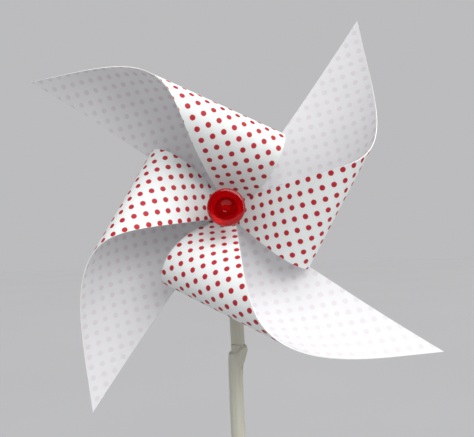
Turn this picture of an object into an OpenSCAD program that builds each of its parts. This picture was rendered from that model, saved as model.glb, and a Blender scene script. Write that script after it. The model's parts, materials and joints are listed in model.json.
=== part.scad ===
// Paper pinwheel: one cut and curled square sheet on a push pin, held by a peeled twig.
// Millimetres, +Z up. The origin is the middle of the twig's foot. The wheel's axis
// runs along Y and the wheel faces -Y.

/* [Sheet] */
// Side of the flat square sheet before it is cut
sheet_side = 100; // [90:1:110]
// Thickness of the sheet
sheet_t = 0.25; // [0.2:0.05:0.4]
// Distance from the middle to where each diagonal cut stops
cut_stop = 8.5; // [7:0.5:12]
// Width that each cut opens to at the sheet's corner
cut_gap = 0.6; // [0.4:0.1:1.5]
// Turn of the sheet about its axis, anticlockwise as seen from the front
sheet_turn = 53.8; // [0:0.1:89]

/* [Curl of the top, right, bottom and left vanes] */
// Tightest curvature of each curl, in degrees per millimetre
curl_tight = [10.15, 12.72, 11.16, 11.12]; // [8:0.01:13]
// Where each curl is tightest, from the middle towards the curled corner
curl_at = [29.83, 31.09, 28.68, 28.85]; // [26:0.01:36]
// Length over which each curl starts
curl_in = [9.06, 8.40, 6.74, 8.69]; // [6:0.01:16]
// Length over which each curl dies away
curl_out = [17.38, 11.44, 16.31, 16.23]; // [10:0.01:18]
// Slant of the ruling lines on the wing side of each curl
slant_in = [-30.9, -39.7, -37.4, -47.9]; // [-50:0.1:0]
// Slant of the ruling lines along the curled half
slant_out = [0.7, 3.6, 3.3, 5.0]; // [-10:0.1:15]
// Slant of the ruling lines at the pinned tip
slant_tip = [26.8, 32.1, 35.9, 40.9]; // [0:0.1:55]
// Back bend of each vane at its neck
neck_bend = [-4.8, 13.6, -8.9, 16.4]; // [-15:0.1:20]
// Reverse bend that lays each tip flat on the middle
tip_bend = [63.4, 34.1, 60.5, 54.0]; // [0:0.1:90]
// Where that reverse bend is, from the middle towards the curled corner
tip_bend_at = [59.14, 61.48, 60.77, 59.66]; // [56:0.01:65]

/* [Push pin] */
// Diameter of the top disc of the head
head_d = 10.4; // [9:0.1:12]
// Height of the head over its foot
head_h = 10.4; // [9.5:0.1:12]
// Diameter of the collar at the head's foot
collar_d = 6.4; // [6:0.1:6.6]
// Diameter of the head's waist
waist_d = 5.4; // [4:0.1:6]
// Diameter of the steel needle
needle_d = 1.2; // [1:0.05:1.4]
// Length of needle that stands out of the head
needle_out = 12.3; // [11.5:0.1:13]
// Height of the head's foot over the middle of the sheet, which leaves the wheel play
head_lift = 5.3; // [5:0.1:6]
// Lean of the head to the right, from being pushed in by hand
head_lean = 7.5; // [0:0.5:8]

/* [Spacer bead] */
// Diameter of the bead
bead_d = 7; // [6:0.1:9]
// Thickness of the bead along the pin
bead_l = 3.8; // [3.6:0.1:5]

/* [Twig] */
// Diameter of the twig
twig_d = 4.4; // [4:0.1:5]
// Height of the wheel's axis over the twig's foot
hub_z = 190; // [150:1:260]
// Length of twig over the wheel's axis
twig_over = 11; // [8:1:14]
// Height of the node swelling below the wheel's axis
node_drop = 44; // [40:1:60]
// Greatest diameter of the node swelling
node_d = 5.8; // [5:0.1:6.4]
// How far to the side the twig goes on from its node
node_jog = 1; // [0:0.1:1.5]

/* [Hidden] */
$fn = 48;
leg = sheet_side / sqrt(2);     // from the middle of the sheet to a corner
run_fit = 0.08;                 // radial clearance of the holes that turn on the needle
hole_d = needle_d + 2 * run_fit;
gap = 0.3;                      // space left between pieces that move past each other
node_z = hub_z - node_drop;
upper_l = node_drop - 2;        // from where the upper twig starts to the wheel's axis
twig_lean = atan(node_jog / upper_l);
// How far the bead's front and the twig's middle lie behind the middle of the sheet
bead_back = sheet_t / 2 + gap;
twig_back = bead_back + bead_l + gap + twig_d / 2;

// ---- Folding of the sheet ----
// A vane is a right triangle. Its flat coordinates [s, t] run along its two legs, s
// towards the corner that is curled over and t towards the free wing tip. The paper
// does not stretch: it only bends about straight ruling lines.

rulings = 100;                  // ruling lines along a vane
neck_steps = 8;                 // ruling lines across a neck
neck_len = 7.1;                 // length of the neck's bend
tip_bend_len = 2.83;            // length of the tip's reverse bend
tip_cut = 2.8;                  // what the curled corner has lost at its very point
rows = 34;                      // rows of points along a vane
cols = 9;                       // columns of points across a vane

function ease(x) = let (u = max(0, min(1, x))) u * u * (3 - 2 * u);

// Matrix for a turn by a degrees about the line through p along the unit vector u
function turn(p, u, a) =
    let (c = cos(a), s = sin(a), v = 1 - c,
         r = [[c + u.x * u.x * v, u.x * u.y * v - u.z * s, u.x * u.z * v + u.y * s],
              [u.y * u.x * v + u.z * s, c + u.y * u.y * v, u.y * u.z * v - u.x * s],
              [u.z * u.x * v - u.y * s, u.z * u.y * v + u.x * s, c + u.z * u.z * v]],
         q = p - r * p)
    [[r[0].x, r[0].y, r[0].z, q.x],
     [r[1].x, r[1].y, r[1].z, q.y],
     [r[2].x, r[2].y, r[2].z, q.z],
     [0, 0, 0, 1]];

still = [[1, 0, 0, 0], [0, 1, 0, 0], [0, 0, 1, 0], [0, 0, 0, 1]];

// Running product of a list of turns, from none of them to all of them
function folds(turns) =
    [for (i = 0, m = still; i <= len(turns);
          m = i < len(turns) ? m * turns[i] : m, i = i + 1) m];

ruling_s = [for (i = [0 : rulings]) leg * i / rulings];

// Curvature of vane v at s, in degrees per millimetre
function curl(v, s) =
    let (w = s < curl_at[v] ? curl_in[v] : curl_out[v],
         u = (s - tip_bend_at[v]) / tip_bend_len + 0.5)
    curl_tight[v] * exp(-pow((s - curl_at[v]) / w, 2))
    - (u > 0 && u < 1 ? 2 * tip_bend[v] / tip_bend_len * pow(sin(180 * u), 2) : 0);

// Slant of vane v's ruling line at s
function slant(v, s) =
    slant_in[v]
    + (slant_out[v] - slant_in[v]) * ease((s / leg - 0.22) / 0.28)
    + (slant_tip[v] - slant_out[v]) * ease((s / leg - 0.72) / 0.10);

vane_slants = [for (v = [0 : 3]) [for (s = ruling_s) slant(v, s)]];

vane_folds = [for (v = [0 : 3])
    folds([for (i = [0 : rulings])
        let (a = vane_slants[v][i])
        turn([ruling_s[i], 0, 0], [sin(a), cos(a), 0],
             -curl(v, ruling_s[i]) * leg / rulings)])];

// The neck bends about lines that are parallel to the one joining the ends of the cuts
function neck_at(k) = cut_stop / sqrt(2) + neck_len * (k + 0.5) / neck_steps;

neck_folds = [for (v = [0 : 3])
    folds([for (k = [0 : neck_steps - 1])
        turn([neck_at(k), neck_at(k), 0] / sqrt(2), [-1, 1, 0] / sqrt(2),
             neck_bend[v] / neck_steps)])];

// How many of the vane's ruling lines lie between the middle and the point [s, t]
function lines_passed(v, s, t) =
    len([for (i = [0 : rulings])
        if (ruling_s[i] + t * tan(vane_slants[v][i]) < s) 1]);

function necks_passed(s, t) =
    len([for (k = [0 : neck_steps - 1]) if (neck_at(k) < (s + t) / sqrt(2)) 1]);

// Matrix that carries the flat sheet at [s, t] of vane v to its folded place
function fold_matrix(v, s, t) =
    neck_folds[v][necks_passed(s, t)] * vane_folds[v][lines_passed(v, s, t)];

// Place of the flat point [s, t] at height h over the sheet's middle surface
function folded(v, s, t, h) =
    let (q = fold_matrix(v, s, t) * [s, t, h, 1], a = sheet_turn - 90 * v)
    [q.x * cos(a) - q.y * sin(a), q.x * sin(a) + q.y * cos(a), q.z];

// ---- One closed skin over the whole sheet ----
row_s = [0, for (i = [1 : rows]) cut_stop + (leg - tip_cut - cut_stop) * (i - 1) / (rows - 1)];
col_f = [0, for (j = [1 : cols]) let (f = cut_stop / leg) f + (1 - f) * (j - 1) / (cols - 1)];

// Half the width of a cut at distance r from the middle
function half_cut(r) = cut_gap / 2 * max(0, r - cut_stop) / (leg - cut_stop);

// Flat place of grid point i, j: both legs draw back from the cuts
function flat_at(i, j) =
    let (s = row_s[i], t = (leg - s) * col_f[j])
    [i == 0 ? s + half_cut(t) : s, j == 0 ? t + half_cut(s) : t];

per_vane = (rows + 1) * (cols + 1);
per_side = 4 * per_vane;

// Number of grid point i, j of vane v. The middle and the ends of the cuts are shared.
function spot(v, i, j) =
    i == 0 && j == 0 ? 0 :
    i == 0 && j == 1 ? ((v + 3) % 4) * per_vane + (cols + 1) :
    v * per_vane + i * (cols + 1) + j;

function side_points(h) =
    [for (v = [0 : 3]) for (i = [0 : rows]) for (j = [0 : cols])
        let (p = flat_at(i, j)) folded(v, p.x, p.y, h)];

// Every cell is split along the diagonal that lines up with the neck
function side_faces(first, flip) =
    [for (v = [0 : 3]) for (i = [0 : rows - 1]) for (j = [0 : cols - 1])
        let (a = first + spot(v, i, j), b = first + spot(v, i + 1, j),
             c = first + spot(v, i, j + 1), d = first + spot(v, i + 1, j + 1))
        each flip ? [[a, b, c], [b, d, c]] : [[a, c, b], [b, c, d]]];

// Way round the sheet's edge: out along a cut, down the side, back along the next cut
edge_loop = [for (v = [3 : -1 : 0]) each concat(
    [for (i = [1 : rows]) spot(v, i, 0)],
    [for (j = [1 : cols]) spot(v, rows, j)],
    [for (i = [rows - 1 : -1 : 0]) spot(v, i, cols)],
    [for (j = [cols - 1 : -1 : 2]) spot(v, 0, j)])];

function edge_faces() =
    [for (k = [0 : len(edge_loop) - 1])
        let (a = edge_loop[k], b = edge_loop[(k + 1) % len(edge_loop)])
        each [[a, b, a + per_side], [b, b + per_side, a + per_side]]];

// Stands a shape that was built facing +Z with +Y up on the wheel's axis
module on_axis() {
    translate([0, -twig_back, hub_z]) rotate([90, 0, 0]) children();
}

module paper_sheet() {
    color("white") on_axis()
        difference() {
            polyhedron(concat(side_points(sheet_t / 2), side_points(-sheet_t / 2)),
                       concat(side_faces(0, false), side_faces(per_side, true), edge_faces()));
            translate([0, 0, -sheet_t]) cylinder(d = hole_d, h = head_lift);
        }
}

module pin_head() {
    disc_h = 2.2;
    collar_h = 1.6;
    color("crimson") on_axis() translate([0, 0, head_lift])
        difference() {
            rotate([0, head_lean, 0]) rotate_extrude()
                polygon([[0, 0], [collar_d / 2, 0], [collar_d / 2, collar_h - 0.4],
                         [waist_d / 2 + 0.3, collar_h + 0.3], [waist_d / 2, collar_h + 1],
                         [waist_d / 2 + 0.2, head_h - disc_h - 1.2],
                         [head_d / 2 - 0.5, head_h - disc_h], [head_d / 2, head_h - disc_h + 0.6],
                         [head_d / 2, head_h - 0.8], [head_d / 2 - 0.7, head_h - 0.15],
                         [head_d / 4, head_h], [0, head_h]]);
            translate([0, 0, -1]) cylinder(d = needle_d, h = head_h - 1.5);
        }
}

module pin_needle() {
    point_l = 2;
    buried = head_h - 2.5;
    color("silver") on_axis() translate([0, 0, head_lift])
        rotate_extrude()
            polygon([[0, buried], [needle_d / 2, buried], [needle_d / 2, point_l - needle_out],
                     [0.08, -needle_out], [0, -needle_out]]);
}

module spacer_bead() {
    round_r = 1.2;
    color("ivory") on_axis() translate([0, 0, -bead_back - bead_l])
        difference() {
            rotate_extrude()
                polygon([[0, 0], [bead_d / 2 - round_r, 0],
                         for (a = [-75 : 15 : 0]) [bead_d / 2 - round_r + round_r * cos(a),
                                                   round_r + round_r * sin(a)],
                         for (a = [0 : 15 : 75]) [bead_d / 2 - round_r + round_r * cos(a),
                                                  bead_l - round_r + round_r * sin(a)],
                         [bead_d / 2 - round_r, bead_l], [0, bead_l]]);
            translate([0, 0, -1]) cylinder(d = hole_d, h = bead_l + 2);
        }
}

module twig() {
    swell_h = 8;
    color("wheat") difference() {
        union() {
            cylinder(d = twig_d, h = node_z - swell_h / 2);
            translate([0, 0, node_z - swell_h / 2])
                cylinder(d1 = twig_d, d2 = twig_d + 0.4, h = swell_h / 2);
            // Swelling: it starts slowly and ends in a round shoulder
            translate([node_jog * 0.85, 0, node_z - swell_h / 2])
                rotate_extrude()
                    polygon([[0, 0.1], [node_d * 0.22, 0.1], [node_d * 0.34, 1.4],
                             [node_d * 0.42, 2.8], [node_d * 0.48, 4.2], [node_d / 2, 5.2],
                             [node_d * 0.49, 6], [node_d * 0.44, 6.8],
                             [twig_d / 2 - 0.2, 7.2], [0, 7.2]]);
            translate([node_jog, 0, hub_z - upper_l]) rotate([0, -twig_lean, 0])
                cylinder(d = twig_d, h = (upper_l + twig_over) / cos(twig_lean));
        }
        on_axis() translate([0, 0, head_lift - needle_out - 0.1])
            cylinder(d = needle_d, h = needle_out);
    }
}

paper_sheet();
pin_head();
pin_needle();
spacer_bead();
twig();
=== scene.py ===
"""Looks for the paper pinwheel: a dotted sheet curled on a push pin, in a peeled twig."""

import json
import math

import bpy
import numpy as np
from mathutils import Matrix, Vector, noise


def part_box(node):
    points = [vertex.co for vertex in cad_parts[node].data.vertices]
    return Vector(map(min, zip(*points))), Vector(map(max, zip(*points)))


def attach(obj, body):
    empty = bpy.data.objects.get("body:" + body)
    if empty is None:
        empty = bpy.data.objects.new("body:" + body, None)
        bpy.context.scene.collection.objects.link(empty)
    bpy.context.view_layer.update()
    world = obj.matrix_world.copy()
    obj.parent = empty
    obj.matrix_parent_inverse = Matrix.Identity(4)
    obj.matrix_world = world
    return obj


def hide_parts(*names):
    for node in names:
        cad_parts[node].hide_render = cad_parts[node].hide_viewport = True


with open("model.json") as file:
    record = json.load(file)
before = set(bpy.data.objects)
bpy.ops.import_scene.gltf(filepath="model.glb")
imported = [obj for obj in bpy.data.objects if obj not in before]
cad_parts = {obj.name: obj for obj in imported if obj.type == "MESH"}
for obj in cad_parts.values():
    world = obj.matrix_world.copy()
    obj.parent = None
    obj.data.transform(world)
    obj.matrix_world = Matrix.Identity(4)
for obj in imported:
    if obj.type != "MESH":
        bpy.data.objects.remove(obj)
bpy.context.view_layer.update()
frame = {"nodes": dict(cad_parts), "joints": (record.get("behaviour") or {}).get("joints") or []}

# Sizes below are in millimetres and are turned into metres when a mesh is made.
MM = 0.001
DEG = math.pi / 180
FULL_TURN = 2 * math.pi
ROOT_HALF = math.sqrt(0.5)

# The wheel's own frame: x right and y up as seen from the front, z towards the viewer.
hub = Vector(next(j["pos_m"] for j in frame["joints"] if j["name"] == "wheel_spin"))
WHEEL = Matrix.Translation(hub) @ Matrix.Rotation(90 * DEG, 4, "X")


# ---------------------------------------------------------------- helpers


def linear(hex_colour):
    """An sRGB hex colour such as "#c0ffee" as linear RGBA."""
    rgb = [int(hex_colour[i : i + 2], 16) / 255 for i in (1, 3, 5)]
    return [c / 12.92 if c <= 0.04045 else ((c + 0.055) / 1.055) ** 2.4 for c in rgb] + [1.0]


def new_material(name):
    """A material with no nodes yet."""
    material = bpy.data.materials.new(name)
    material.use_nodes = True
    material.node_tree.nodes.clear()
    return material


def add(material, kind, links=None, **settings):
    """Adds a node. settings are its properties or, by socket name or number, its values.
    links joins its inputs to outputs of other nodes."""
    node = material.node_tree.nodes.new(kind)
    for key, value in settings.items():
        key = key.replace("__", " ")
        if hasattr(node, key):
            setattr(node, key, value)
        elif key.startswith("in") and key[2:].isdigit():
            node.inputs[int(key[2:])].default_value = value
        else:
            node.inputs[key].default_value = value
    for socket, output in (links or {}).items():
        material.node_tree.links.new(output, node.inputs[socket])
    return node


def per_metre(size):
    """Scale of a pattern in object coordinates whose features are size millimetres apart."""
    return 1 / (size * MM)


def ease(x):
    """Rises smoothly from 0 to 1 as x does."""
    u = np.clip(x, 0, 1)
    return u * u * (3 - 2 * u)


def turned(x, y, angle):
    """The point (x, y) turned about the middle."""
    c, s = math.cos(angle), math.sin(angle)
    return c * x - s * y, s * x + c * y


def mesh_object(name, points, faces, materials, slots=None, frame_matrix=None):
    """A smooth mesh object from points in millimetres."""
    mesh = bpy.data.meshes.new(name)
    mesh.from_pydata([tuple(p) for p in np.asarray(points) * MM], [], faces)
    for material in filter(None, materials):
        mesh.materials.append(material)
    if slots is not None:
        mesh.polygons.foreach_set("material_index", slots)
    mesh.polygons.foreach_set("use_smooth", [True] * len(mesh.polygons))
    if frame_matrix is not None:
        mesh.transform(frame_matrix)
    mesh.update()
    obj = bpy.data.objects.new(name, mesh)
    bpy.context.scene.collection.objects.link(obj)
    return obj


def arc(cx, cz, r, start, end, steps=8):
    """Points of (radius, z) on a rounded corner, angles in degrees."""
    return [
        (cx + r * math.cos(a * DEG), cz + r * math.sin(a * DEG))
        for a in np.linspace(start, end, steps)
    ]


def lathe(name, outline, material, around=96, frame_matrix=None):
    """A turned solid about z from an outline of (radius, z) that starts and ends on the axis."""
    points = [(0, 0, outline[0][1])]
    for radius, z in outline[1:-1]:
        points += [(*turned(radius, 0, FULL_TURN * k / around), z) for k in range(around)]
    points.append((0, 0, outline[-1][1]))
    rings = len(outline) - 2
    faces = []
    for k in range(around):
        after = (k + 1) % around
        faces.append((0, 1 + after, 1 + k))
        for r in range(rings - 1):
            low, high = 1 + r * around, 1 + (r + 1) * around
            faces.append((low + k, low + after, high + after, high + k))
        last = 1 + (rings - 1) * around
        faces.append((last + k, last + after, len(points) - 1))
    return mesh_object(name, points, faces, [material], frame_matrix=frame_matrix)


def turned_ring(name, outline, material, around=64, frame_matrix=None):
    """A turned ring about z from a closed outline of (radius, z)."""
    count = len(outline)
    points = [
        (*turned(r, 0, FULL_TURN * k / around), z) for k in range(around) for r, z in outline
    ]
    faces = []
    for k in range(around):
        here, there = k * count, (k + 1) % around * count
        for i in range(count):
            j = (i + 1) % count
            faces.append((here + i, there + i, there + j, here + j))
    return mesh_object(name, points, faces, [material], frame_matrix=frame_matrix)


# ---------------------------------------------------------------- the sheet, folded by rule

sheet_side = 100.0
leg = sheet_side / math.sqrt(2)  # from the sheet's middle to a corner
paper_t = 0.20
hole_r = 0.68
cut_stop = 8.5  # the cuts stop this far from the middle
cut_gap = 0.6  # and have opened this far at the rim
tip_cut = 2.8  # lost from the very point of a curled corner
sheet_turn = 53.8 * DEG

# One value for each vane: top, right, bottom, left. A vane curls about folding lines that
# cross it, in degrees for each millimetre along it.
curl_tight = (10.15, 12.72, 11.16, 11.12)  # the curl where it is tightest
curl_at = (29.83, 31.09, 28.68, 28.85)  # where that is
curl_in = (9.06, 8.40, 6.74, 8.69)  # how far the curl reaches towards the middle
curl_out = (17.38, 11.44, 16.31, 16.23)  # and towards the tip
slant_in = (-30.9, -39.7, -37.4, -47.9)  # slant of the folding lines near the middle
slant_out = (0.7, 3.6, 3.3, 5.0)  # half-way out
slant_tip = (26.8, 32.1, 35.9, 40.9)  # and at the tip
neck_bend = (-4.8, 13.6, -8.9, 16.4)  # how far the vane leans where it leaves the middle
tip_bend = (63.4, 34.1, 60.5, 54.0)  # how far the tip is bent back flat under the pin
tip_bend_at = (59.14, 61.48, 60.77, 59.66)

tip_bend_len = 2.83
neck_len = 7.1
# Where the slant changes: the start and the length of each change, as parts of the vane
middle_change = (0.22, 0.28)
tip_change = (0.72, 0.10)

# How finely the sheet is made
rulings = 300
neck_steps = 24
rows = 150
cols = 40


def turn(point, axis, angle):
    """4x4 matrix for a turn by angle about the line through point along the unit axis."""
    matrix = np.eye(4)
    c, s = math.cos(angle), math.sin(angle)
    x, y, z = axis
    cross = np.array([[0, -z, y], [z, 0, -x], [-y, x, 0]])
    matrix[:3, :3] = c * np.eye(3) + s * cross + (1 - c) * np.outer(axis, axis)
    matrix[:3, 3] = np.asarray(point) - matrix[:3, :3] @ point
    return matrix


def running_folds(turns):
    """The products of the first 0, 1, 2 ... of the turns."""
    out = [np.eye(4)]
    for matrix in turns:
        out.append(out[-1] @ matrix)
    return np.array(out)


def changed(part, change):
    """How much of a change of (start, length) is done at that part of a vane."""
    start, length = change
    return ease((part - start) / length)


def vane_folding(v):
    """The folding lines of vane v and the fold at each of them, then the same for its neck."""
    s = np.arange(rulings + 1) * leg / rulings
    width = np.where(s < curl_at[v], curl_in[v], curl_out[v])
    through_bend = np.clip((s - tip_bend_at[v]) / tip_bend_len + 0.5, 0, 1)
    curl = curl_tight[v] * np.exp(-(((s - curl_at[v]) / width) ** 2))
    curl -= 2 * tip_bend[v] / tip_bend_len * np.sin(math.pi * through_bend) ** 2
    slant = slant_in[v] + (slant_out[v] - slant_in[v]) * changed(s / leg, middle_change)
    slant = (slant + (slant_tip[v] - slant_out[v]) * changed(s / leg, tip_change)) * DEG
    curls = running_folds(
        turn((a, 0, 0), (math.sin(b), math.cos(b), 0), -c * DEG * leg / rulings)
        for a, b, c in zip(s, slant, curl)
    )
    neck_at = cut_stop * ROOT_HALF + neck_len * (np.arange(neck_steps) + 0.5) / neck_steps
    neck_axis = (-ROOT_HALF, ROOT_HALF, 0)
    necks = running_folds(
        turn((d * ROOT_HALF, d * ROOT_HALF, 0), neck_axis, neck_bend[v] * DEG / neck_steps)
        for d in neck_at
    )
    return s, np.tan(slant), curls, neck_at, necks


def folded(v, s, t, height, folding):
    """Where flat points (s, t) of vane v go, at that height over the sheet's middle."""
    lines, slopes, curls, neck_at, necks = folding
    passed = (lines[None, :] + t[:, None] * slopes[None, :] < s[:, None]).sum(1)
    neck = (neck_at[None, :] < ((s + t) * ROOT_HALF)[:, None]).sum(1)
    flat = np.stack([s, t, np.full_like(s, height), np.ones_like(s)], 1)
    p = np.einsum("nij,njk,nk->ni", necks[neck], curls[passed], flat)
    x, y = turned(p[:, 0], p[:, 1], sheet_turn - v * 90 * DEG)
    return np.stack([x, y, p[:, 2]], 1)


# The red dots are printed on a square grid that follows the sheet's sides.
dot_pitch = 3.166
dot_radius = 0.75
dot_grid_turn = 0.8 * DEG
# Where the grid falls on each vane, as parts of a pitch
dot_shift = ((-0.966, -0.429), (0.993, 0.155), (0.298, -0.118), (0.003, -0.140))


def print_place(v, s, t):
    """Flat sheet point in the print's own grid, counted in dots."""
    x, y = turned(s, t, 45 * DEG - v * 90 * DEG - dot_grid_turn)
    return np.stack([x / dot_pitch - dot_shift[v][0], -y / dot_pitch - dot_shift[v][1]], 1)


def half_cut(r):
    """Half the width of an open cut, r from the sheet's middle."""
    return cut_gap / 2 * np.clip(r - cut_stop, 0, None) / (leg - cut_stop)


def paper_sheet(materials):
    """The whole cut and folded sheet as one closed skin: front, back and cut edge."""
    row_s = np.concatenate([[0], np.linspace(cut_stop, leg - tip_cut, rows)])
    col_f = np.concatenate([[0], np.linspace(cut_stop / leg, 1, cols)])
    front_points, back_points, prints = [], [], []
    for v in range(4):
        s, f = np.meshgrid(row_s, col_f, indexing="ij")
        t = (leg - s) * f
        flat_s = np.where(s == 0, s + half_cut(t), s).ravel()
        flat_t = np.where(f == 0, t + half_cut(s), t).ravel()
        folding = vane_folding(v)
        front_points.append(folded(v, flat_s, flat_t, paper_t / 2, folding))
        back_points.append(folded(v, flat_s, flat_t, -paper_t / 2, folding))
        prints.append(print_place(v, flat_s, flat_t))

    # The vanes share the sheet's middle point and, with the next vane, the end of a cut.
    per_vane = (rows + 1) * (cols + 1)
    per_side = 4 * per_vane
    shared = {}
    for v in range(4):
        shared[v * per_vane] = 0
        shared[v * per_vane + 1] = (v + 3) % 4 * per_vane + cols + 1

    def own_spot(v, i, j):
        return v * per_vane + i * (cols + 1) + j

    def spot(v, i, j):
        return shared.get(own_spot(v, i, j), own_spot(v, i, j))

    # faces, the material slot of each, and the point whose print each corner takes
    faces, slots, places = [], [], []
    plain, dotted, edge = range(3)
    for v in range(4):
        for i in range(rows):
            for j in range(cols):
                grid = ((i, j), (i + 1, j), (i + 1, j + 1), (i, j + 1))
                # the cells beside a cut are halved, so that none has a doubled corner
                cells = [grid] if i and j else [(grid[0], grid[1], grid[3]), grid[1:]]
                for cell in cells:
                    ring = tuple(spot(v, *at) for at in cell)
                    origin = tuple(own_spot(v, *at) for at in cell)
                    faces += [ring, tuple(k + per_side for k in reversed(ring))]
                    slots += [plain, dotted]
                    places += [origin, tuple(reversed(origin))]
    for v in (3, 2, 1, 0):
        rim = [(i, 0) for i in range(1, rows + 1)]
        rim += [(rows, j) for j in range(1, cols + 1)]
        rim += [(i, cols) for i in range(rows - 1, -1, -1)]
        rim += [(0, j) for j in range(cols - 1, 0, -1)]
        for here, there in zip(rim, rim[1:]):
            a, b = spot(v, *here), spot(v, *there)
            faces.append((b, a, a + per_side, b + per_side))
            slots.append(edge)
            places.append((own_spot(v, *here),) * 4)
    used = sorted({k for face in faces for k in face})
    renumber = {k: n for n, k in enumerate(used)}
    obj = mesh_object(
        "paper_wheel",
        np.concatenate(front_points + back_points)[used],
        [tuple(renumber[k] for k in face) for face in faces],
        materials,
        slots,
        WHEEL,
    )
    layer = obj.data.uv_layers.new(name="print")
    prints = np.concatenate(prints)
    layer.uv.foreach_set("vector", prints[[k for place in places for k in place]].ravel())
    punch_pin_hole(obj)
    obj.data.set_sharp_from_angle(angle=50 * DEG)
    return obj


def punch_pin_hole(paper):
    """The pin goes through the four tips and the middle in one stroke."""
    behind, before = -2, 4
    punch = lathe(
        "punch",
        [(0, behind), (hole_r, behind), (hole_r, before), (0, before)],
        None,
        around=48,
        frame_matrix=WHEEL,
    )
    cut = paper.modifiers.new("pin_hole", "BOOLEAN")
    cut.operation = "DIFFERENCE"
    cut.solver = "EXACT"
    cut.object = punch
    bpy.context.view_layer.update()
    done = bpy.data.meshes.new_from_object(
        paper.evaluated_get(bpy.context.evaluated_depsgraph_get())
    )
    paper.modifiers.clear()
    paper.data = done
    bpy.data.objects.remove(punch)


def paper_material(name, printed):
    """Uncoated craft paper of about 120 g: matt, faintly fibrous, and it lets some light
    through, so that the dots of the printed side show as a faint shadow on the plain side."""
    m = new_material(name)
    shade = ("#e6eae8", "#f4f7f5") if printed else ("#e2e1e4", "#ededef")
    # the ink spreads a little in the paper, and more on its way to the plain side
    blur = 0.063 if printed else 0.285
    # real fibres are finer: they are drawn as coarse as they need to show
    fibre_size, cloud_size, press_size = 0.2878, 9.046, 0.3518
    # the press leaves each dot's edge a little uneven, in parts of a pitch
    uneven = 0.03
    # how much of the ink is seen through the sheet, and how much light passes a face
    show_through, let_through = 0.07, 0.24

    place = add(m, "ShaderNodeUVMap", uv_map="print")
    press = add(
        m, "ShaderNodeTexNoise", {"Vector": place.outputs["UV"]},
        Scale=dot_pitch / press_size, Detail=2.0,
    )
    shift = add(
        m, "ShaderNodeVectorMath", {0: press.outputs["Color"]}, operation="MULTIPLY_ADD",
        in1=(uneven, uneven, 0), in2=(-uneven / 2, -uneven / 2, 0),
    )
    moved = add(
        m, "ShaderNodeVectorMath", {0: place.outputs["UV"], 1: shift.outputs[0]},
        operation="ADD",
    )
    cell = add(m, "ShaderNodeVectorMath", {0: moved.outputs[0]}, operation="FRACTION")
    centred = add(
        m, "ShaderNodeVectorMath", {0: cell.outputs[0]}, operation="SUBTRACT", in1=(0.5, 0.5, 0)
    )
    flat = add(
        m, "ShaderNodeVectorMath", {0: centred.outputs[0]}, operation="MULTIPLY", in1=(1, 1, 0)
    )
    away = add(m, "ShaderNodeVectorMath", {0: flat.outputs[0]}, operation="LENGTH")
    dot = add(
        m, "ShaderNodeMapRange", {"Value": away.outputs["Value"]},
        interpolation_type="SMOOTHSTEP", To__Min=1.0, To__Max=0.0,
        From__Min=(dot_radius - blur) / dot_pitch, From__Max=(dot_radius + blur) / dot_pitch,
    )
    fibre = add(
        m, "ShaderNodeTexNoise", {"Vector": place.outputs["UV"]},
        Scale=dot_pitch / fibre_size, Detail=6.0, Roughness=0.65,
    )
    cloud = add(
        m, "ShaderNodeTexNoise", {"Vector": place.outputs["UV"]},
        Scale=dot_pitch / cloud_size, Detail=3.0,
    )
    white = add(
        m, "ShaderNodeMix", {"Factor": fibre.outputs["Fac"]}, data_type="RGBA",
        in6=linear(shade[0]), in7=linear(shade[1]),
    )
    clouded = add(
        m, "ShaderNodeMix", {"Factor": cloud.outputs["Fac"], 6: white.outputs[2]},
        data_type="RGBA", blend_type="MULTIPLY", in7=linear("#f6f6f6"),
    )
    if printed:
        tones, share = ("#b0061c", "#c40c28"), dot
    else:
        tones = ("#c3b0b6", "#d0bfc4")
        share = add(
            m, "ShaderNodeMath", {0: dot.outputs["Result"]}, operation="MULTIPLY",
            in1=show_through,
        )
    ink = add(
        m, "ShaderNodeMix", {"Factor": fibre.outputs["Fac"]}, data_type="RGBA",
        in6=linear(tones[0]), in7=linear(tones[1]),
    )
    colour = add(
        m, "ShaderNodeMix",
        {"Factor": share.outputs[0], 6: clouded.outputs[2], 7: ink.outputs[2]},
        data_type="RGBA",
    )
    # light that has come through the sheet has lost more at the dots
    glow = add(
        m, "ShaderNodeMix", {"Factor": dot.outputs["Result"], 6: clouded.outputs[2]},
        data_type="RGBA", blend_type="MULTIPLY", in7=linear("#c4959a"),
    )
    grain = add(
        m, "ShaderNodeBump", {"Height": fibre.outputs["Fac"]}, Strength=0.12, Distance=0.06 * MM
    )
    body = add(
        m, "ShaderNodeBsdfPrincipled",
        {"Base Color": colour.outputs[2], "Normal": grain.outputs[0]},
        Roughness=0.62, IOR=1.45,
    )
    through = add(
        m, "ShaderNodeBsdfTranslucent", {"Color": glow.outputs[2], "Normal": grain.outputs[0]}
    )
    both = add(
        m, "ShaderNodeMixShader", {1: body.outputs[0], 2: through.outputs[0]}, in0=let_through
    )
    add(m, "ShaderNodeOutputMaterial", {"Surface": both.outputs[0]})
    return m


def cut_edge_material():
    """The knife-cut edge of the paper: bare white pulp, a little rougher than the face."""
    m = new_material("paper_cut_edge")
    place = add(m, "ShaderNodeTexCoord")
    pulp = add(
        m, "ShaderNodeTexNoise", {"Vector": place.outputs["Object"]},
        Scale=per_metre(0.25), Detail=3.0,
    )
    colour = add(
        m, "ShaderNodeMix", {"Factor": pulp.outputs["Fac"]}, data_type="RGBA",
        in6=linear("#e2e0da"), in7=linear("#f4f2ee"),
    )
    body = add(m, "ShaderNodeBsdfPrincipled", {"Base Color": colour.outputs[2]}, Roughness=0.8)
    add(m, "ShaderNodeOutputMaterial", {"Surface": body.outputs[0]})
    return m


# ---------------------------------------------------------------- push pin

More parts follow.
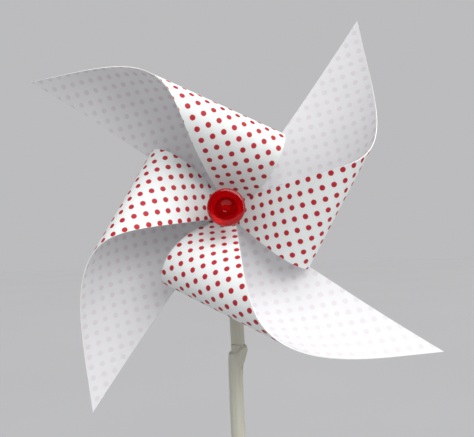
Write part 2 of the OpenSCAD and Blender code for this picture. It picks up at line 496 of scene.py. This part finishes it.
# The needle stands straight; the head leans a little on it, as a pin pushed in by hand does.
head_r, head_h = 5.2, 10.4
collar_r = 3.2
needle_r = 0.6
needle_in_head = 7.9
head_lean = 7.5 * DEG
head_foot = (hub.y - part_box("pin_needle")[0].y) / MM - needle_in_head


def pin_head(material):
    """Moulded head: a collar, a hollow waist, and a wide disc with a shallow dished top."""
    outline = [(0, 0), (needle_r, 0)]
    outline += arc(collar_r - 0.4, 0.4, 0.4, -90, 0)
    outline += arc(collar_r - 0.4, 1.2, 0.4, 0, 80)
    outline += [(2.75, 1.9), (2.62, 2.6), (2.55, 3.6), (2.6, 4.8), (2.75, 5.8)]
    outline += [(3.05, 6.7), (3.6, 7.4), (4.3, 7.85)]
    outline += arc(head_r - 0.7, head_h - 1.55, 0.7, -60, 0)
    outline += arc(head_r - 0.9, head_h - 0.95, 0.9, 0, 78)
    outline += [(3.2, head_h - 0.02), (2.2, head_h - 0.03), (1.5, head_h - 0.06)]
    outline += [(1.15, head_h - 0.16), (0.6, head_h - 0.2), (0, head_h - 0.21)]
    at = Matrix.Translation((0, 0, head_foot * MM)) @ Matrix.Rotation(head_lean, 4, "Y")
    return lathe("pin_head_red", outline, material, frame_matrix=WHEEL @ at)


def red_plastic_material():
    """Clear red polystyrene, moulded and polished: light goes far into it. Painted shade in its
    colour darkens a ring where the thick waist lies under the disc, round a lighter middle, and a
    painted glow brightens the rim."""
    m = new_material("polystyrene_clear_red")
    disc_middle = hub + Vector((head_h * math.sin(head_lean), 0, 0)) * MM
    # noise bends the painted shade rings by up to this much
    ring_shade_bend = 1.6 * MM
    rings_from, rings_to = 0.8 * MM, 6.0 * MM
    # painted shade and glow: ring tones, darkest where the waist lies under the disc, brightest
    # near the rim
    tones = (
        (0.16, "#c4050b"), (0.30, "#a40106"), (0.44, "#a00106"), (0.60, "#c6050b"),
        (0.86, "#ce050d"),
    )

    place = add(m, "ShaderNodeTexCoord")
    from_axis = add(
        m, "ShaderNodeVectorMath", {0: place.outputs["Object"]}, operation="SUBTRACT",
        in1=disc_middle,
    )
    across = add(
        m, "ShaderNodeVectorMath", {0: from_axis.outputs[0]}, operation="MULTIPLY", in1=(1, 0, 1)
    )
    outward = add(m, "ShaderNodeVectorMath", {0: across.outputs[0]}, operation="LENGTH")
    flow = add(
        m, "ShaderNodeTexNoise", {"Vector": place.outputs["Object"]},
        Scale=per_metre(2.381), Detail=3.0,
    )
    bent = add(
        m, "ShaderNodeMath", {0: flow.outputs["Fac"], 2: outward.outputs["Value"]},
        operation="MULTIPLY_ADD", in1=ring_shade_bend,
    )
    reach = add(
        m, "ShaderNodeMapRange", {"Value": bent.outputs[0]},
        From__Min=rings_from, From__Max=rings_to,
    )
    # painted shade: colour by distance from the axis, a dark ring over the waist and a brighter
    # rim
    painted_ring_shade = add(m, "ShaderNodeValToRGB", {"Fac": reach.outputs[0]})
    ramp = painted_ring_shade.color_ramp
    ramp.interpolation = "EASE"
    for at, tone in tones:
        ramp.elements.new(at).color = linear(tone)
    ramp.elements[0].color = linear("#cc070e")
    ramp.elements[-1].color = linear("#b40207")
    ripple = add(
        m, "ShaderNodeBump", {"Height": flow.outputs["Fac"]}, Strength=0.06, Distance=0.1 * MM
    )
    body = add(
        m, "ShaderNodeBsdfPrincipled",
        {"Base Color": painted_ring_shade.outputs["Color"], "Normal": ripple.outputs[0]},
        Roughness=0.06, IOR=1.55, Transmission__Weight=0.7, Specular__IOR__Level=0.2,
    )
    add(m, "ShaderNodeOutputMaterial", {"Surface": body.outputs[0]})
    return m


def steel_material():
    """Drawn and polished steel wire: bright, with fine lengthwise draw marks."""
    m = new_material("steel_drawn_wire")
    # real draw marks are finer: they are drawn as coarse as they need to show
    mark_wide, mark_long = per_metre(1 / 9), per_metre(5)
    place = add(m, "ShaderNodeTexCoord")
    along = add(
        m, "ShaderNodeMapping", {"Vector": place.outputs["Object"]},
        Scale=(mark_wide, mark_long, mark_wide),
    )
    marks = add(m, "ShaderNodeTexNoise", {"Vector": along.outputs[0]}, Scale=1.0, Detail=3.0)
    rough = add(
        m, "ShaderNodeMapRange", {"Value": marks.outputs["Fac"]}, To__Min=0.18, To__Max=0.34
    )
    bump = add(
        m, "ShaderNodeBump", {"Height": marks.outputs["Fac"]}, Strength=0.1, Distance=0.02 * MM
    )
    body = add(
        m, "ShaderNodeBsdfPrincipled", {"Roughness": rough.outputs[0], "Normal": bump.outputs[0]},
        Base__Color=linear("#c9cacc"), Metallic=1.0,
    )
    add(m, "ShaderNodeOutputMaterial", {"Surface": body.outputs[0]})
    return m


# ---------------------------------------------------------------- spacer bead


def spacer_bead(material):
    """Turned bead with rounded shoulders and a bore that runs on the needle."""
    low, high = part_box("spacer_bead")
    radius, length = (high.x - low.x) / 2 / MM, (high.y - low.y) / MM
    back = (hub.y - high.y) / MM
    bore_r, bore_edge, mouth = 0.68, 0.15, 0.2
    shoulder = 1.5
    outline = [(bore_r, bore_edge)]
    outline += arc(1.6, mouth, mouth, 180, 270, 3)
    outline += arc(radius - shoulder, shoulder, shoulder, -80, 0, 9)
    outline += arc(radius - shoulder, length - shoulder, shoulder, 0, 80, 9)
    outline += arc(1.6, length - mouth, mouth, 90, 180, 3)
    outline += [(bore_r, length - bore_edge)]
    at = Matrix.Translation((0, 0, back * MM))
    return turned_ring("bead_beech", outline, material, frame_matrix=WHEEL @ at)


def bead_material():
    """Turned beech bead, waxed: warm pale wood with short dark flecks along the grain."""
    m = new_material("beech_waxed")
    fleck_wide, fleck_long = per_metre(1 / 2.2), per_metre(2.5)
    place = add(m, "ShaderNodeTexCoord")
    along = add(
        m, "ShaderNodeMapping", {"Vector": place.outputs["Object"]},
        Scale=(fleck_wide, fleck_long, fleck_wide),
    )
    grain = add(m, "ShaderNodeTexNoise", {"Vector": along.outputs[0]}, Scale=1.0, Detail=5.0)
    colour = add(
        m, "ShaderNodeMix", {"Factor": grain.outputs["Fac"]}, data_type="RGBA",
        in6=linear("#b98d5a"), in7=linear("#e2bd8c"),
    )
    bump = add(
        m, "ShaderNodeBump", {"Height": grain.outputs["Fac"]}, Strength=0.25, Distance=0.05 * MM
    )
    body = add(
        m, "ShaderNodeBsdfPrincipled",
        {"Base Color": colour.outputs[2], "Normal": bump.outputs[0]}, Roughness=0.42,
    )
    add(m, "ShaderNodeOutputMaterial", {"Surface": body.outputs[0]})
    return m


# ---------------------------------------------------------------- twig

twig_r = 2.2
twig_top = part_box("twig")[1].z / MM
node_z = hub.z / MM - 44.0
node_jog = 1.0
upper_len = 42.0  # from where the leaning upper twig starts to the hub
lower_node_z = 47.0

# Below and through the node, from its height: where the twig's middle and radius are
node_stations = (-9.0, -6.0, -3.8, -1.5, 0.2, 1.1, 2.8, 4.0)
node_middles = (0, 0.0, 0.12, 0.52, 0.87, 1.08, 1.06, 1.0)
node_radii = (2.2, 2.22, 2.32, 2.66, 2.86, 2.84, 2.5, 2.3)


def swell(x, middle, width, power=2):
    """A smooth hump of height 1 round middle."""
    return math.exp(-(((x - middle) / width) ** power))


def facing(a, towards, power):
    """1 where the bark's angle a faces towards, falling off the faster the higher power is."""
    return max(0.0, math.cos(a - towards)) ** power


def rough(a, z, around, along, shift=0):
    """Unevenness of the wood, so many humps around it and along it."""
    x, y = turned(around, 0, a)
    return noise.noise(Vector((x + shift, y, z * along)))


def upper_twig(above):
    """Middle and radius of the twig over its node."""
    return node_jog * (1 - (above - 2) / upper_len), twig_r - 0.05


def lower_twig(above):
    """Middle and radius of the twig below its node and of the swelling."""
    middle = np.interp(above, node_stations, node_middles)
    radius = np.interp(above, node_stations, node_radii)
    below = node_stations[0] - above
    if below > 0:
        middle += 0.32 * math.sin(below * 0.05) * ease(below / 20)
    return middle, radius + 0.3 * swell(above + node_z, lower_node_z, 2.4)


def outline_at(a, centre, radius):
    """Distance from the line x = 0, y = 0 to a circle round (centre, 0), at angle a."""
    return centre * math.cos(a) + math.sqrt(radius**2 - (centre * math.sin(a)) ** 2)


def twig_surface(a, z):
    """Radius of the twig at angle a and height z, and how dark it is there: specks, darkened
    grooves and painted shade.
    """
    above = z - node_z
    front, right = -math.sin(a), math.cos(a)
    # the shoulder where the lower twig ends: low in front and at the left, high at the right
    shoulder = 0.6 + 2.0 * ease((right - 0.1) / 0.8) + 0.15 * math.sin(3 * a)
    over = float(ease((above - shoulder) / 0.55 + 0.5))
    r = outline_at(a, *lower_twig(above))
    if over > 0:
        r = (1 - over) * r + over * outline_at(a, *upper_twig(above))
    near = swell(above, 0, 4.5)
    r += 0.06 * rough(a, z, 1.2, 0.05) + 0.028 * rough(a, z, 8, 0.08)
    r += 0.10 * near * rough(a, z, 3, 0.45, shift=7)

    # a crack round the twig over the swelling, a worn ring at the lower node
    crack_z = 2.85 + 0.30 * front + 0.12 * math.sin(5 * a) * math.cos(2 * a)
    crack = swell(above, crack_z, 0.16) * (0.75 + 0.25 * math.sin(3 * a + 1))
    ring = swell(z, lower_node_z + 0.4 + 0.3 * math.sin(2 * a), 0.22)
    # a torn fibre and a notch under the swelling, a dent further down
    tear = facing(a, -0.35, 30) * swell(above, -5.4, 1.0, power=4)
    notch = facing(a, -0.2, 10) * swell(above, -4.0, 0.5)
    dent = facing(a, math.pi, 14) * swell(above, -11.6, 0.5)
    r += 0.14 * tear - 0.10 * crack - 0.06 * ring - 0.12 * notch - 0.16 * dent

    speck = max(0.0, rough(a, z, 5, 1.6) - 0.42) * near
    # painted shade: darker just under the shoulder's lip, on the right side only
    edge = swell(above, shoulder - 0.1, 0.35) * max(0.0, right)
    # specks are dirt; the crack, ring, notch and dent are darkened in their grooves; edge is
    # painted shade
    dirt_and_shade = 0.8 * crack + 0.35 * ring + 0.6 * notch + 0.5 * dent + 1.6 * speck + 0.3 * edge
    return r, min(1.0, dirt_and_shade)


def twig(material):
    """Peeled twig: a slow wander, a swollen node with a crack over it, cut ends."""
    around = 80
    coarse, fine = 0.8, 0.18
    fine_places = ((node_z - 1, 7), (lower_node_z, 3))
    bevel, bevel_h = 0.22, 0.35
    end_rings = (0, 0.12, 0.35, 0.7)
    heights = list(end_rings)
    while heights[-1] < twig_top - end_rings[-1] - 0.5:
        z = heights[-1]
        at_node = any(abs(z - place) < reach for place, reach in fine_places)
        heights.append(z + (fine if at_node else coarse))
    heights += [twig_top - height for height in reversed(end_rings)]
    # rings of (share of the radius, darkening) that close the cut ends, with the dark pith inside
    caps = ((0.8, 0.12), (0.55, 0.15), (0.3, 0.25), (0.2, 0.9), (0.08, 1.0))
    rings = [(0, share, mark) for share, mark in reversed(caps)]
    rings += [(z, 1.0, None) for z in heights]
    rings += [(twig_top, share, mark) for share, mark in caps]
    points, dirt_and_shade = [], []
    for z, share, mark in rings:
        lost = bevel * (1 - min(1.0, min(z, twig_top - z) / bevel_h)) ** 2
        for k in range(around):
            a = FULL_TURN * k / around
            r, soil_and_shade = twig_surface(a, z)
            points.append((*turned(share * (r - lost), 0, a), z))
            dirt_and_shade.append(soil_and_shade if mark is None else mark)
    faces = []
    for r in range(len(rings) - 1):
        for k in range(around):
            after = (k + 1) % around
            low, high = r * around, (r + 1) * around
            faces.append((low + k, low + after, high + after, high + k))
    last = (len(rings) - 1) * around
    faces.append(tuple(range(around))[::-1])
    faces.append(tuple(last + k for k in range(around)))
    obj = mesh_object("twig_handle", points, faces, [material])
    obj.data.attributes.new("dirt_and_shade", "FLOAT", "POINT").data.foreach_set("value", dirt_and_shade)
    obj.data.set_sharp_from_angle(angle=55 * DEG)
    return obj


def twig_material():
    """Peeled twig, dried to a pale grey green: silky lengthwise fibres, dark specks round the
    node, darker in the crack and grooves, and painted shade under the shoulder on its right side."""
    m = new_material("twig_peeled_wood")
    # bundles of fibres, because one fibre is too fine to show
    fibre_wide, fibre_long = per_metre(1 / 2.6), per_metre(1 / 0.09)
    place = add(m, "ShaderNodeTexCoord")
    along = add(
        m, "ShaderNodeMapping", {"Vector": place.outputs["Object"]},
        Scale=(fibre_wide, fibre_wide, fibre_long),
    )
    fibre = add(
        m, "ShaderNodeTexNoise", {"Vector": along.outputs[0]},
        Scale=1.0, Detail=5.0, Roughness=0.6,
    )
    stain = add(
        m, "ShaderNodeTexNoise", {"Vector": place.outputs["Object"]},
        Scale=per_metre(6.25), Detail=4.0,
    )
    wood = add(
        m, "ShaderNodeMix", {"Factor": fibre.outputs["Fac"]}, data_type="RGBA",
        in6=linear("#9c9e8f"), in7=linear("#c3c2b6"),
    )
    patch = add(
        m, "ShaderNodeMapRange", {"Value": stain.outputs["Fac"]},
        From__Min=0.45, From__Max=0.75, To__Min=0.0, To__Max=0.5,
    )
    worn = add(
        m, "ShaderNodeMix", {"Factor": patch.outputs[0], 6: wood.outputs[2]}, data_type="RGBA",
        in7=linear("#b0a893"),
    )
    dirt_and_shade = add(m, "ShaderNodeAttribute", attribute_name="dirt_and_shade")
    # dark colour for the specks, the darkened crack and grooves, and the painted shade under the
    # shoulder
    colour = add(
        m, "ShaderNodeMix", {"Factor": dirt_and_shade.outputs["Fac"], 6: worn.outputs[2]},
        data_type="RGBA", in7=linear("#5d5444"),
    )
    bump = add(
        m, "ShaderNodeBump", {"Height": fibre.outputs["Fac"]}, Strength=0.3, Distance=0.08 * MM
    )
    body = add(
        m, "ShaderNodeBsdfPrincipled",
        {"Base Color": colour.outputs[2], "Normal": bump.outputs[0]}, Roughness=0.5,
    )
    add(m, "ShaderNodeOutputMaterial", {"Surface": body.outputs[0]})
    return m


# ---------------------------------------------------------------- build the pieces

paper = paper_sheet(
    [
        paper_material("paper_plain_side", printed=False),
        paper_material("paper_dotted_side", printed=True),
        cut_edge_material(),
    ]
)
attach(paper, "wheel")
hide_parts("paper_sheet")

head = pin_head(red_plastic_material())
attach(head, "handle")
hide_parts("pin_head")

bead = spacer_bead(bead_material())
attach(bead, "bead")
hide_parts("spacer_bead")

needle = frame["nodes"]["pin_needle"]
needle.data.materials.clear()
needle.data.materials.append(steel_material())

stick = twig(twig_material())
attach(stick, "handle")
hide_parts("twig")

# ---------------------------------------------------------------- floor, light, camera


def floor():
    """Plain pale studio floor under the twig's foot: matt paint, faintly clouded."""
    half = 4000
    m = new_material("studio_floor")
    place = add(m, "ShaderNodeTexCoord")
    mottle = add(
        m, "ShaderNodeTexNoise", {"Vector": place.outputs["Object"]}, Scale=per_metre(1000 / 3)
    )
    colour = add(
        m, "ShaderNodeMix", {"Factor": mottle.outputs["Fac"]}, data_type="RGBA",
        in6=linear("#a5a5a6"), in7=linear("#ababac"),
    )
    body = add(m, "ShaderNodeBsdfPrincipled", {"Base Color": colour.outputs[2]}, Roughness=0.9)
    add(m, "ShaderNodeOutputMaterial", {"Surface": body.outputs[0]})
    corners = [(-half, -half, 0), (half, -half, 0), (half, half, 0), (-half, half, 0)]
    return mesh_object("floor", corners, [(0, 1, 2, 3)], [m])


floor()


def daylight(name, towards, strength, spread, mirrored=True):
    """Soft far light from the direction towards, in the wheel's frame, spread in degrees.
    One that is not mirrored leaves no highlight on glossy surfaces."""
    data = bpy.data.lights.new(name, "SUN")
    data.energy = strength
    data.angle = spread * DEG
    lamp = bpy.data.objects.new(name, data)
    bpy.context.scene.collection.objects.link(lamp)
    lamp.visible_glossy = mirrored
    lamp.matrix_world = WHEEL @ Vector(towards).to_track_quat("Z", "Y").to_matrix().to_4x4()


daylight("window_over", (0.40, 0.73, 0.55), strength=2.7, spread=60)
daylight("window_right", (0.90, 0.30, 0.32), strength=1.3, spread=60)
daylight("room_left", (-0.60, 0.30, 0.74), strength=0.6, spread=60, mirrored=False)

world = bpy.data.worlds.new("studio")
bpy.context.scene.world = world
world.use_nodes = True
sky = world.node_tree.nodes["Background"]
sky.inputs["Color"].default_value = linear("#dcdcde")
sky.inputs["Strength"].default_value = 0.70
# only the windows show in glossy surfaces
world.cycles_visibility.glossy = False

# The eye stands close in front of the wheel, a little to its right and below.
eye, aim = Vector((15.80, -10.27, 139.14)), Vector((2.68, -2.30, 0))
roll = -1.97 * DEG
camera_data = bpy.data.cameras.new("camera")
camera_data.sensor_width = 36
camera_data.lens = 35.3
camera_data.clip_start = 5 * MM
camera = bpy.data.objects.new("camera", camera_data)
bpy.context.scene.collection.objects.link(camera)
back = (eye - aim).normalized()
right = Vector((0, 1, 0)).cross(back).normalized()
up = back.cross(right)
look = Matrix((right, up, back)).transposed().to_4x4()
camera.matrix_world = (
    WHEEL @ Matrix.Translation(eye * MM) @ look @ Matrix.Rotation(roll, 4, "Z")
)
bpy.context.scene.camera = camera
bpy.context.scene.view_settings.view_transform = "Standard"
